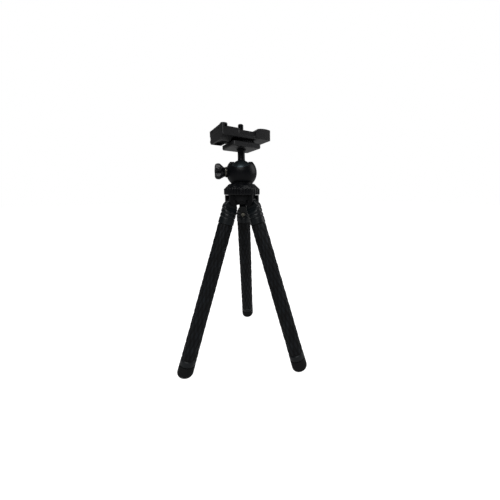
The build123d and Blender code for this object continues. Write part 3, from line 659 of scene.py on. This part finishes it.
@dataclass
class Leg:
    """One leg. Local z points up the leg with the hinge pin at 0, and x away from the hub."""

    side: str
    splay: float = 18.0
    radius: float = 8.7
    knuckle: float = 4.5
    tongue: float = 4.4
    cap_radius: float = 8.8
    cap_end: float = 27.5
    outer_shoulder: float = 9.0
    inner_shoulder: float = 10.0
    cheek_start: float = 8.0
    cheek_end: float = 18.0
    grooves: tuple[float, ...] = (10.6, 15.2, 19.8)
    groove_depth: float = 0.68
    groove_width: float = 0.6
    recess: float = 7.0
    recess_half: float = 4.2
    recess_end: float = 18.6
    screw_at: float = 15.6
    bore: float = 5.05
    core_top: float = 10.9
    core_radius: float = 5.0
    flex_half: float = 22.0
    sleeve_end: float = 180.1
    lozenges: int = 12
    lozenge_length: float = 16.0
    bark_depth: float = 0.85
    ferrule_end: float = 187.0
    foot_socket: float = 4.0
    foot_end: float = 199.4
    foot_edge: float = 4.0
    place: Place = field(init=False)

    def __post_init__(self) -> None:
        """Works out the leg's frame from its hinge."""
        origin = joint_place(f"{self.side}_leg_hinge")
        out = origin * (1, 1, 0) / np.hypot(origin[0], origin[1])
        up = np.array([0.0, 0.0, 1.0])
        lean = radians(self.splay)
        x = cos(lean) * out + sin(lean) * up
        z = cos(lean) * up - sin(lean) * out
        self.place = Place(origin, np.stack([x, np.cross(z, x), z]))

    def build(self) -> None:
        """Makes the leg's pieces, hangs cap, screw, ferrule and foot on its two bodies, and bakes the
        sleeve and core in place.
        """
        upper, lower = f"{self.side}_leg", f"{self.side}_leg_end"
        for piece, body, node in (
                (self.cap(), upper, "cap"), (self.cap_screw(), upper, "cap_screw"),
                (self.ferrule(), lower, "ferrule"), (self.foot(), lower, "foot")):
            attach(piece, body)
            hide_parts(f"{self.side}_leg_{node}")
        middle = (joint_place(f"{self.side}_leg_bend") - self.place.origin) @ self.place.axes[2]
        top, bottom = [tuple(self.place.put(np.array([0, 0, middle + step])) * MM)
                       for step in (self.flex_half, -self.flex_half)]
        for piece, nodes in ((self.sleeve(), ("sleeve_upper", "flex", "sleeve_lower")),
                             (self.core(), ("core_upper", "core_lower"))):
            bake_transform(piece)
            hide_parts(*(f"{self.side}_leg_{node}" for node in nodes))

    def cap(self) -> bpy.types.Object:
        """The moulded cap, from the flat tongue down to the ringed round socket.

        Each level is a superellipse: x = c + a cos^p t and y = b sin^p t, with p = 2/n. The
        half widths a and b follow the side and front views, n falls from 8, a rounded square,
        to 2, a circle, and rings are soft grooves in both half widths. The columns that face
        the hub are held at the recess's floor, which leaves a step at its edges.
        """
        soft = np.sort(np.concatenate([
            self.knuckle * np.sin(np.linspace(-pi / 2, 0, 12)), np.arange(0.3, self.cap_end, 0.3),
            [self.recess_end - 0.01, self.recess_end, self.cap_end - 0.4]]))[:, None]
        below = np.clip(soft, 0, None)
        over = np.sqrt(np.clip(self.knuckle ** 2 - np.clip(soft, None, 0) ** 2, 0, None))
        grow = self.cap_radius - self.knuckle
        outer = over + grow * np.sin(pi / 2 * np.clip(below / self.outer_shoulder, 0, 1)) ** 0.85
        inner = over + grow * ease(below / self.inner_shoulder)
        swell = np.clip((below - self.cheek_start) / (self.cheek_end - self.cheek_start), 0, 1)
        half = self.tongue + (self.cap_radius - self.tongue) * np.sin(pi / 2 * swell) ** 1.2
        power = 2 + 6 * (1 - np.clip((below - 6) / 10, 0, 1)) ** 2
        rings = sum(np.exp(-((soft - at) / self.groove_width) ** 2) for at in self.grooves)
        shrink = 1 - self.groove_depth / self.cap_radius * rings
        edge = np.arcsin(np.clip(self.recess_half / (half * shrink), 0, 1) ** (power / 2))
        facing = pi + edge * np.linspace(-1, 1, 15)
        away = pi + edge + (2 * pi - 2 * edge) * np.linspace(0, 1, 61)
        angle = np.hstack([facing, away])
        cosine, sine = np.cos(angle), np.sin(angle)
        x = (outer - inner) / 2 + (outer + inner) / 2 * shrink * (
            np.sign(cosine) * np.abs(cosine) ** (2 / power))
        y = half * shrink * np.sign(sine) * np.abs(sine) ** (2 / power)
        held = (np.arange(angle.shape[1]) < facing.shape[1]) & (soft < self.recess_end)
        x = np.where(held, np.maximum(x, -self.recess), x)
        rows = np.stack([x, y, -soft + 0 * x], axis=-1)
        last = angle[-1]
        ends = [wrapped(r, -depth, last) for r, depth in (
            (self.cap_radius - 0.35, self.cap_end), (self.bore, self.cap_end),
            (self.bore, self.core_top), (0.0, self.core_top))]
        points = np.concatenate([rows, np.stack(ends)])
        return make_piece(f"{self.side}_cap", [Grid(points)], Slot.CAP, 38.0, self.place)

    def cap_screw(self) -> bpy.types.Object:
        """The bright screw in the recess, with a round socket in its head."""
        profile = eased([(0, -4.6), (1.25, -4.6), (1.25, 0), (2.3, 0), (2.3, 1.5), (1.5, 1.5),
                         (1.3, 0.2), (0, 0.2)], 0.35)
        x, y, z = self.place.axes
        spot = self.place.put(np.array([-self.recess - 0.05, 0, -self.screw_at]))
        return make_piece(f"{self.side}_cap_screw", [lathe(profile, 40)], Slot.BRIGHT,
                          place=Place(spot, np.stack([z, y, -x])))

    def bark(self, angle: Array, depth: Array) -> Array:
        """Height of the bark, 0 in a groove to 1 on a crown.

        The square root of |cos u + cos v| / 2 is 0 on two families of slanting lines, which
        leave staggered lozenges between them. u goes round the leg and v along it.

        Args:
            angle: Angle round the leg.
            depth: Distance from the hinge pin.

        Returns:
            Relative height, lowest at both ends of the sleeve.
        """
        u = self.lozenges * angle
        v = 2 * pi * depth / self.lozenge_length
        lozenge = np.sqrt(np.abs(np.cos(u) + np.cos(v)) / 2)
        uneven = 0.84 + 0.16 * np.sin(3 * angle + 0.21 * depth) * np.sin(0.13 * depth - angle)
        inside = ease((depth - self.cap_end) / 1.2) * ease((self.sleeve_end - depth) / 1.2)
        return lozenge * uneven * inside

    def sleeve(self) -> bpy.types.Object:
        """The rubber sleeve: bark outside, a plain bore inside, one piece over the bend."""
        columns = 12 * self.lozenges
        angle = np.linspace(0, 2 * pi, columns, endpoint=False)
        depth = np.arange(self.cap_end, self.sleeve_end, self.lozenge_length / 16)
        depth = np.append(depth, self.sleeve_end)[:, None]
        height = self.bark(angle, depth)
        outside = wrapped(self.radius - self.bark_depth * (1 - height), -depth, angle)
        back = depth[::-4]
        inside = wrapped(self.bore, -back, angle)
        # This relief also paints the bark's colour: painted shade in the grooves, paler crowns.
        relief = np.vstack([height, np.zeros((len(back), columns))])
        grid = Grid(np.concatenate([outside, inside]), True, relief)
        return make_piece(f"{self.side}_sleeve", [grid], Slot.SLEEVE, 60.0, self.place)

    def core(self) -> bpy.types.Object:
        """The bendable core, one bar from cap to foot."""
        depth = np.linspace(self.core_top + 0.1, self.ferrule_end + self.foot_socket - 0.1, 90)
        side = np.stack([np.full(90, self.core_radius), -depth], axis=1)
        profile = np.vstack([[0, side[0, 1]], side, [0, side[-1, 1]]])[::-1]
        return make_piece(f"{self.side}_core", [lathe(profile, 24)], Slot.CORE, place=self.place)

    def ferrule(self) -> bpy.types.Object:
        """The smooth ring below the sleeve, with eased edges that leave a dark line each side."""
        top, end, r = -self.sleeve_end, -self.ferrule_end, self.radius - 0.1
        profile = eased([(self.bore, end), (r - 0.9, end), (r, end + 0.9), (r, top - 0.9),
                         (r - 0.9, top), (self.bore, top)], 0.3, closed=True)
        return make_piece(f"{self.side}_ferrule", [lathe(profile, ring=True)], Slot.CAP,
                          place=self.place)

    def foot(self) -> bpy.types.Object:
        """The rubber tip: a straight collar, a rounded edge and a flat end."""
        r, edge, end, top = self.radius, self.foot_edge, -self.foot_end, -self.ferrule_end
        round_off = arc(edge, -90, 0, 14) + [r - edge, end + edge]
        profile = np.vstack([[0, end], [(r - edge) / 2, end], round_off, [r, top - 0.5],
                             [r - 0.15, top - 0.12], [r - 0.5, top], [self.bore, top],
                             [self.bore, top - self.foot_socket], [0, top - self.foot_socket]])
        return make_piece(f"{self.side}_foot", [lathe(profile)], Slot.FOOT, place=self.place)


# Hub


@dataclass
class Hub:
    """The drum that carries the legs, and the fluted ring that locks them."""

    ring_radius: float = 20.8
    top_radius: float = 14.6
    band: float = 7.4
    shoulder: float = 5.2
    opening: float = 13.5
    neck: float = 12.05
    disc_room: float = 16.9
    flutes: int = 36
    flute_depth: float = 0.95
    flute_share: float = 0.62

    def build(self) -> None:
        """Makes the hub's pieces."""
        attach(softened("drum", "hub_body", Slot.HUB, 0.35), "hub")
        ring = self.lock_ring()
        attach(ring, "ring")
        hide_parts("lock_ring")
        dress_nodes({"leg_pins": Slot.DARK, "pressure_disc": Slot.DARK,
                     "centre_bolt": Slot.DARK, "bolt_washer": Slot.BRIGHT})

    def lock_ring(self) -> bpy.types.Object:
        """The ring: a fluted band under a sloping shoulder, hollow for the disc and the neck."""
        z = low_high("lock_ring")[0][2]
        band, top = z + self.band, z + self.band + self.shoulder
        room = z + 3.0
        corners = [(self.neck, room), (self.disc_room, room), (self.disc_room, z),
                   (self.ring_radius - 0.7, z), (self.ring_radius, z + 0.8),
                   (self.ring_radius, band - 0.7), (self.ring_radius - 0.9, band),
                   (self.ring_radius - 1.8, band + 0.9), (self.top_radius + 0.4, top - 0.3),
                   (self.top_radius - 0.3, top),
                   (self.opening, top), (self.opening, top - 3.0), (self.neck, top - 4.0)]
        profile = eased(corners, 0.5, closed=True)
        rim = self.ring_radius - 1.6
        grid = fluted(profile, self.flutes, self.flute_depth, self.flute_share, rim)
        return make_piece("ring", [grid], Slot.RING)


# Ball head


@dataclass
class BallHead:
    """Ball, stem and housing. The housing's local x points through the middle of its notch."""

    ball: float = 14.0
    housing: float = 17.6
    cavity: float = 14.05
    mouth: float = 8.6
    mouth_height: float = 12.0
    foot: float = 13.2
    spigot: float = 11.0
    spigot_end: float = 20.6
    pocket: float = 10.95
    pocket_floor: float = 15.8
    bolt_bore: float = 3.05
    notch: float = 20.0
    notch_above: float = 4.0
    notch_back: float = 2.0
    notch_azimuth: float = -124.0
    stem: float = 4.1
    flare: float = 1.0
    flange: float = 5.3
    sink: float = 1.0
    boss: float = 6.0
    boss_end: float = 18.0
    washer: float = 5.6
    washer_thickness: float = 0.9
    knob: float = 9.4
    knob_neck: float = 5.4
    knob_length: float = 11.2
    knob_head: float = 5.6
    lobes: int = 5
    scallop: float = 4.6
    lean: float = 14.0
    centre: Array = field(init=False)
    side: Place = field(init=False)

    def __post_init__(self) -> None:
        """Works out the ball's centre and the knob's frame, whose z points out of the housing."""
        self.centre = joint_place("head_tilt")
        z = joint_axis("knob_turn")
        x = np.array([0.0, 0.0, -1.0])
        self.side = Place(self.centre, np.stack([x, np.cross(z, x), z]))

    def build(self) -> None:
        """Makes the head's pieces."""
        for piece, body, node in (
                (self.ball_and_stem(), "ball", "ball_stem"),
                (self.ball_housing(), "hub", "ball_housing"),
                (self.knob_washer(), "knob", "knob_washer"), (self.lock_knob(), "knob", "lock_knob")):
            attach(piece, body)
            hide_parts(node)
        dress_nodes({"ball_seat": Slot.LINER, "lock_plunger": Slot.LINER, "lock_screw": Slot.DARK})

    def ball_and_stem(self) -> bpy.types.Object:
        """The ball, and on it the darker stem with its curved flare and the clamp's flange."""
        top = low_high("ball_stem")[1][2] - self.centre[2]
        root = self.stem + self.flare
        leave = np.degrees(np.arccos(root / self.ball))
        globe = arc(self.ball, -90, leave, 64)
        bend = np.linspace(0, 1, 8)[1:, None]
        low = globe[-1, 1]
        flare = (1 - bend) ** 2 * globe[-1] + 2 * bend * (1 - bend) * [self.stem, low] + (
            bend ** 2 * [self.stem, low + 2.9])
        neck = eased([(self.stem, low + 2.9), (self.stem, top - 2.4), (self.flange, top - 1.2),
                      (self.flange, top), (0, top)], 0.3)
        stem = lathe(np.vstack([[(0, low - self.sink)], globe[-1:], flare, neck[1:]])).points
        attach(make_piece("stem", [Grid(stem + self.centre)], Slot.HEAD), "ball")
        points = lathe(arc(self.ball, -90, 90, 96)).points + self.centre
        return make_piece("ball", [Grid(points)], Slot.BALL)

    def rim(self, radius: float, mouth: float) -> Array:
        """Edge that the mouth and the notch leave on a sphere.

        From the notch's middle it follows the notch, a lying cylinder, to the flat wall behind
        it, the wall up to the mouth, and the mouth's circle round to the back. The other half
        mirrors it.

        Args:
            radius: The sphere's radius.
            mouth: Radius of the mouth's circle on it.

        Returns:
            Points of the closed edge.
        """
        lift = self.notch_above + self.notch
        meet = (radius ** 2 - self.notch_back ** 2 - self.notch ** 2 + lift ** 2) / (2 * lift)
        wide = sqrt(radius ** 2 - self.notch_back ** 2 - meet ** 2)
        y = wide * np.sin(np.linspace(0, pi / 2, 34))
        z = lift - np.sqrt(self.notch ** 2 - y ** 2)
        notch = np.stack([np.sqrt(np.clip(radius ** 2 - y ** 2 - z ** 2, 0, None)), y, z], axis=1)
        y = np.linspace(wide, sqrt(mouth ** 2 - self.notch_back ** 2), 9)
        wall = np.stack([0 * y + self.notch_back, y,
                         np.sqrt(radius ** 2 - self.notch_back ** 2 - y ** 2)], axis=1)
        angle = np.linspace(np.arccos(self.notch_back / mouth), pi, 30)
        circle = wrapped(mouth, sqrt(radius ** 2 - mouth ** 2), angle)
        half = np.vstack([notch, wall[1:], circle[1:]])
        return np.vstack([half, half[-2:0:-1] * (1, -1, 1)])

    def ball_housing(self) -> bpy.types.Object:
        """The housing: sphere outside and in, lofted between the cut rims and level circles.

        The top is cut level, which leaves a flat ring round the mouth's short bore. Great arcs
        run from a level circle to the rim, by the rule that weights both ends with sines of the
        angle left and the angle done, so that every point stays on its sphere.
        """
        half = np.radians(np.concatenate([np.linspace(0, 84, 34), np.linspace(84, 96, 9)[1:],
                                          np.linspace(96, 180, 30)[1:]]))
        angle = np.concatenate([half, -half[-2:0:-1]])
        base = -sqrt(self.housing ** 2 - self.foot ** 2)
        floor = -sqrt(self.cavity ** 2 - self.pocket ** 2)
        lower = [wrapped(r, z, angle) for r, z in (
            (self.pocket, -self.pocket_floor), (self.bolt_bore, -self.pocket_floor),
            (self.bolt_bore, -self.spigot_end), (self.spigot, -self.spigot_end),
            (self.spigot, base - 1.4), (self.foot - 0.6, base - 1.4), (self.foot - 0.6, base))]
        outer_rim = self.rim(self.housing, sqrt(self.housing ** 2 - self.mouth_height ** 2))
        inner_rim = self.rim(self.cavity, self.mouth)
        bore = self.mouth_height - sqrt(self.cavity ** 2 - self.mouth ** 2)
        lip = inner_rim + ease((inner_rim[:, 2:] - 9.5) / 1.5) * (0, 0, bore)
        outside = great_arcs(wrapped(self.foot, base, angle), outer_rim, 26)
        inside = great_arcs(inner_rim, wrapped(self.pocket, floor, angle), 20)
        wall = outer_rim + (lip - outer_rim) * np.array([0.06, 0.5, 0.94, 1.0])[:, None, None]
        points = np.concatenate([np.stack(lower), outside, wall, inside])
        turn = radians(self.notch_azimuth)
        axes = np.array([[cos(turn), sin(turn), 0], [-sin(turn), cos(turn), 0], [0, 0, 1]])
        shell = Grid(self.centre + points @ axes, True)
        boss = lathe(eased([(0, self.cavity + 1), (self.boss, self.cavity + 1),
                            (self.boss, self.boss_end), (0, self.boss_end)], 0.3), 48)
        boss.points = self.side.put(boss.points)
        piece = make_piece("housing", [shell, boss], Slot.HEAD, 32.0)
        soften(piece, 0.3)
        return piece

    def knob_washer(self) -> bpy.types.Object:
        """The bright collar between the knob and the housing."""
        start = self.boss_end + 0.05
        end = start + self.washer_thickness
        profile = eased([(2.55, start), (self.washer, start), (self.washer, end), (2.55, end)],
                        0.3, closed=True)
        return make_piece("knob_collar", [lathe(profile, 64, True)], Slot.BRIGHT, place=self.side)

    def lock_knob(self) -> bpy.types.Object:
        """The lobed thumb knob.

        A turned profile, with valleys between the lobes: radius times 1 - v ((1 + cos 5a) / 2)^p.
        The share v is what a cylinder that leans in towards the free end would cut away.
        """
        start = self.boss_end + 0.1 + self.washer_thickness
        end = start + self.knob_length
        corners = [(0, start), (self.knob_neck, start), (self.knob_neck, start + 1.4),
                   (self.knob, end - self.knob_head), (self.knob, end - 2.8),
                   (self.knob - 0.9, end - 0.9), (self.knob - 2.9, end), (4.3, end),
                   (2.8, end - 0.4), (0, end - 0.4)]
        profile = eased(corners, 0.7)
        reach = np.linspace(0, 1, 4)[1:-1, None]
        middle = [a + (b - a) * reach for a, b in zip(profile[:-1], profile[1:])]
        profile = np.vstack([np.vstack([a, m]) for a, m in zip(profile[:-1], middle)]
                            + [profile[-1:]])
        radius, height = profile[:, :1], profile[:, 1:]
        angle = np.linspace(0, 2 * pi, 32 * self.lobes, endpoint=False)
        floor = self.knob - 0.45 * self.scallop - tan(radians(self.lean)) * (height - start)
        valley = np.clip(1 - floor / np.maximum(radius, 0.1), 0, 1)
        lobe = ((1 + np.cos(self.lobes * angle)) / 2) ** 1.15
        points = wrapped(radius * (1 - valley * lobe), height, angle)
        return make_piece("knob", [Grid(points)], Slot.RING, 50.0, self.side)


def great_arcs(start: Array, end: Array, rows: int) -> Array:
    """Arcs of great circles between matching points of two loops on one sphere.

    Args:
        start: Points of the first loop.
        end: Points of the second.
        rows: How many loops to return, both ends among them.

    Returns:
        Array of rows, points and coordinates.
    """
    radius = np.linalg.norm(start, axis=1)
    turn = np.arccos(np.clip((start * end).sum(axis=1) / radius ** 2, -1, 1))[:, None]
    t = np.linspace(0, 1, rows)[:, None, None]
    return (np.sin((1 - t) * turn) * start + np.sin(t * turn) * end) / np.sin(turn)


# Clamp


@dataclass
class Clamp:
    """The quick-release clamp with its thumb wheel, camera plate and camera screw."""

    wheel: float = 15.5
    wheel_thickness: float = 2.9
    post: float = 5.05
    wheel_flutes: int = 40
    flute_depth: float = 0.55
    thread: float = 3.175
    thread_depth: float = 0.72
    pitch: float = 1.27
    crest_slope: float = 1.3
    crest_flat: float = 0.2
    screw_neck: float = 2.6
    screw_head: float = 6.2
    head_thickness: float = 2.1
    thread_rise: float = 7.6

    def build(self) -> None:
        """Makes the clamp's pieces."""
        for name, node, slot, edge, body in (
                ("clamp_base", "clamp_body", Slot.CLAMP, 0.35, "clamp"),
                ("clamp_end", "end_cap", Slot.CLAMP, 0.2, "clamp"),
                ("stem_foot", "clamp_foot", Slot.CLAMP_FOOT, 0.5, "clamp"),
                ("plate", "camera_plate", Slot.CLAMP, 0.3, "clamp"),
                ("pad", "plate_pad", Slot.PAD, 0.3, "clamp"),
                ("jaw", "sliding_jaw", Slot.CLAMP, 0.45, "jaw")):
            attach(softened(name, node, slot, edge), body)
        for piece, body, node in ((self.thumb_wheel(), "wheel", "clamp_wheel"),
                                  (self.camera_screw(), "camera_screw", "camera_screw")):
            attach(piece, body)
            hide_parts(node)
        dress_nodes({"post_screw": Slot.DARK, "end_screws": Slot.DARK, "clamp_bolt": Slot.DARK,
                     "cam_pin": Slot.DARK, "screw_clip": Slot.DARK})

    def thumb_wheel(self) -> bpy.types.Object:
        """The fluted wheel, with a recess turned into its underside."""
        low = low_high("clamp_wheel")[0][2]
        top, rim = low + self.wheel_thickness, self.wheel
        corners = [(self.post, low), (9.5, low), (9.5, low + 0.9), (13.1, low + 0.9), (13.1, low),
                   (rim - 0.5, low), (rim, low + 0.5), (rim, top - 0.5), (rim - 0.5, top),
                   (self.post, top)]
        grid = fluted(eased(corners, 0.3, closed=True), self.wheel_flutes, self.flute_depth, 0.6,
                      rim - 0.9)
        return make_piece("thumb_wheel", [grid], Slot.HEAD)

    def camera_screw(self) -> bpy.types.Object:
        """The camera screw: disc head, plain neck and a quarter inch thread.

        The thread's radius falls by its depth times a triangle wave of height over pitch less
        turn, cut flat at its ends, so the groove winds up as a helix, and a cone cuts the tip.
        """
        low, high = low_high("camera_screw")
        seat, top = high[2] - self.thread_rise, high[2]
        head = low[2] + self.head_thickness
        angle = np.linspace(0, 2 * pi, 64, endpoint=False)
        plain = np.array([(0, low[2]), (self.screw_head - 0.3, low[2]),
                          (self.screw_head, low[2] + 0.3), (self.screw_head, head),
                          (self.screw_neck, head), (self.screw_neck, seat)])
        z = np.linspace(seat, top, 88)[:, None]
        wave = np.abs((z / self.pitch - angle / (2 * pi)) % 1 * 2 - 1)
        wave = np.clip(self.crest_slope * wave - self.crest_flat, 0, 1)
        runout = ease((z - seat) / 0.8)
        crest = np.minimum(self.thread, self.thread - 0.9 + (top - z))
        screw = np.minimum(crest, self.thread - self.thread_depth * wave)
        screw = self.screw_neck + (screw - self.screw_neck) * runout
        points = np.concatenate([wrapped(plain[:, :1], plain[:, 1:], angle),
                                 wrapped(screw, z, angle), wrapped(0.0, top, angle)[None]])
        return make_piece("camera_thread", [Grid(points)], Slot.DARK, 50.0)


# Studio


@dataclass
class Studio:
    """White floor, plain soft light and the camera."""

    camera_at: tuple[float, float, float] = (-107.9, -221.2, 199.95)
    pitch: float = 82.6
    roll: float = 0.2
    heading: float = -33.7
    lens: float = 14.76
    shift: tuple[float, float] = (-0.04, -0.06)
    floor_size: float = 9000.0
    sky: float = 0.3
    reflected_sky: float = 0.12
    seen_floor: float = 0.95
    reflected_floor: float = 0.06

    def build(self) -> None:
        """Sets up everything round the tripod."""
        scene = bpy.context.scene
        scene.view_settings.view_transform = "Standard"
        self.floor()
        self.world()
        self.softbox("key softbox", (-500, -700, 900), 700, 6.5)
        self.softbox("right softbox", (800, -250, 500), 600, 2.2)
        self.softbox("top softbox", (100, 300, 1100), 900, 4.5)
        self.camera()

    def camera(self) -> None:
        """The camera at the photograph's viewing point."""
        data = bpy.data.cameras.new("camera")
        data.lens = self.lens
        data.sensor_width = 36.0
        data.shift_x, data.shift_y = self.shift
        data.clip_start = 0.01
        camera = bpy.data.objects.new("camera", data)
        camera.location = np.array(self.camera_at) * MM
        camera.rotation_euler = [radians(a) for a in (self.pitch, self.roll, self.heading)]
        bpy.context.scene.collection.objects.link(camera)
        bpy.context.scene.camera = camera

    def floor(self) -> None:
        """A wide grey floor that glows white to the camera and only a little in reflections."""
        half = self.floor_size / 2 * MM
        mesh = bpy.data.meshes.new("floor")
        mesh.from_pydata([(-half, -half, 0), (half, -half, 0), (half, half, 0), (-half, half, 0)],
                         [], [(0, 1, 2, 3)])
        floor = bpy.data.objects.new("floor", mesh)
        bpy.context.scene.collection.objects.link(floor)
        material = bpy.data.materials.new("white sweep")
        material.use_nodes = True
        tree = material.node_tree
        tree.nodes.clear()
        path = add_node(tree, "ShaderNodeLightPath")
        paper = add_node(tree, "ShaderNodeBsdfDiffuse", {"Color": linear("b4b4b4")})
        mirrored = add_node(tree, "ShaderNodeMath", {
            0: path.outputs["Is Glossy Ray"], 1: self.reflected_floor}, {"operation": "MULTIPLY"})
        glow = add_node(tree, "ShaderNodeMath", {
            0: path.outputs["Is Camera Ray"], 1: self.seen_floor, 2: mirrored.outputs[0]},
            {"operation": "MULTIPLY_ADD"})
        white = add_node(tree, "ShaderNodeEmission", {
            "Color": linear("ffffff"), "Strength": glow.outputs[0]})
        seen = add_node(tree, "ShaderNodeAddShader", {0: paper.outputs[0], 1: white.outputs[0]})
        add_node(tree, "ShaderNodeOutputMaterial", {"Surface": seen.outputs[0]})
        mesh.materials.append(material)

    def world(self) -> None:
        """An even grey sky that is white to the camera and darker in reflections, as a room is
        above a lit table."""
        world = bpy.data.worlds.new("studio")
        bpy.context.scene.world = world
        world.use_nodes = True
        tree = world.node_tree
        tree.nodes.clear()
        path = add_node(tree, "ShaderNodeLightPath")
        seen = add_node(tree, "ShaderNodeMath", {
            0: path.outputs["Is Camera Ray"], 1: 1 - self.sky, 2: self.sky},
            {"operation": "MULTIPLY_ADD"})
        strength = add_node(tree, "ShaderNodeMath", {
            0: path.outputs["Is Glossy Ray"], 1: self.reflected_sky - self.sky,
            2: seen.outputs[0]}, {"operation": "MULTIPLY_ADD"})
        sky = add_node(tree, "ShaderNodeBackground", {
            "Color": linear("ffffff"), "Strength": strength.outputs[0]})
        add_node(tree, "ShaderNodeOutputWorld", {"Surface": sky.outputs[0]})

    def softbox(self, name: str, at: tuple[float, float, float], size: float,
                watts: float) -> None:
        """A square area lamp that faces the tripod's head.

        Args:
            name: The lamp's name.
            at: Its place in millimetres.
            size: Its side in millimetres.
            watts: Its power.
        """
        data = bpy.data.lights.new(name, "AREA")
        data.size = size * MM
        data.energy = watts
        lamp = bpy.data.objects.new(name, data)
        lamp.location = np.array(at) * MM
        aim = np.array([0.0, 0.0, 190.0]) - np.array(at)
        flat = float(np.hypot(aim[0], aim[1]))
        lamp.rotation_euler = (float(np.arctan2(flat, -aim[2])), 0.0,
                               float(np.arctan2(-aim[0], aim[1])))
        bpy.context.scene.collection.objects.link(lamp)


def main() -> None:
    """Builds the tripod and its studio."""
    logging.basicConfig(level=logging.INFO, format="%(name)s %(message)s")
    for side in ("left", "right", "back"):
        Leg(side).build()
    Hub().build()
    BallHead().build()
    Clamp().build()
    Studio().build()


if __name__ == "__main__":
    main()
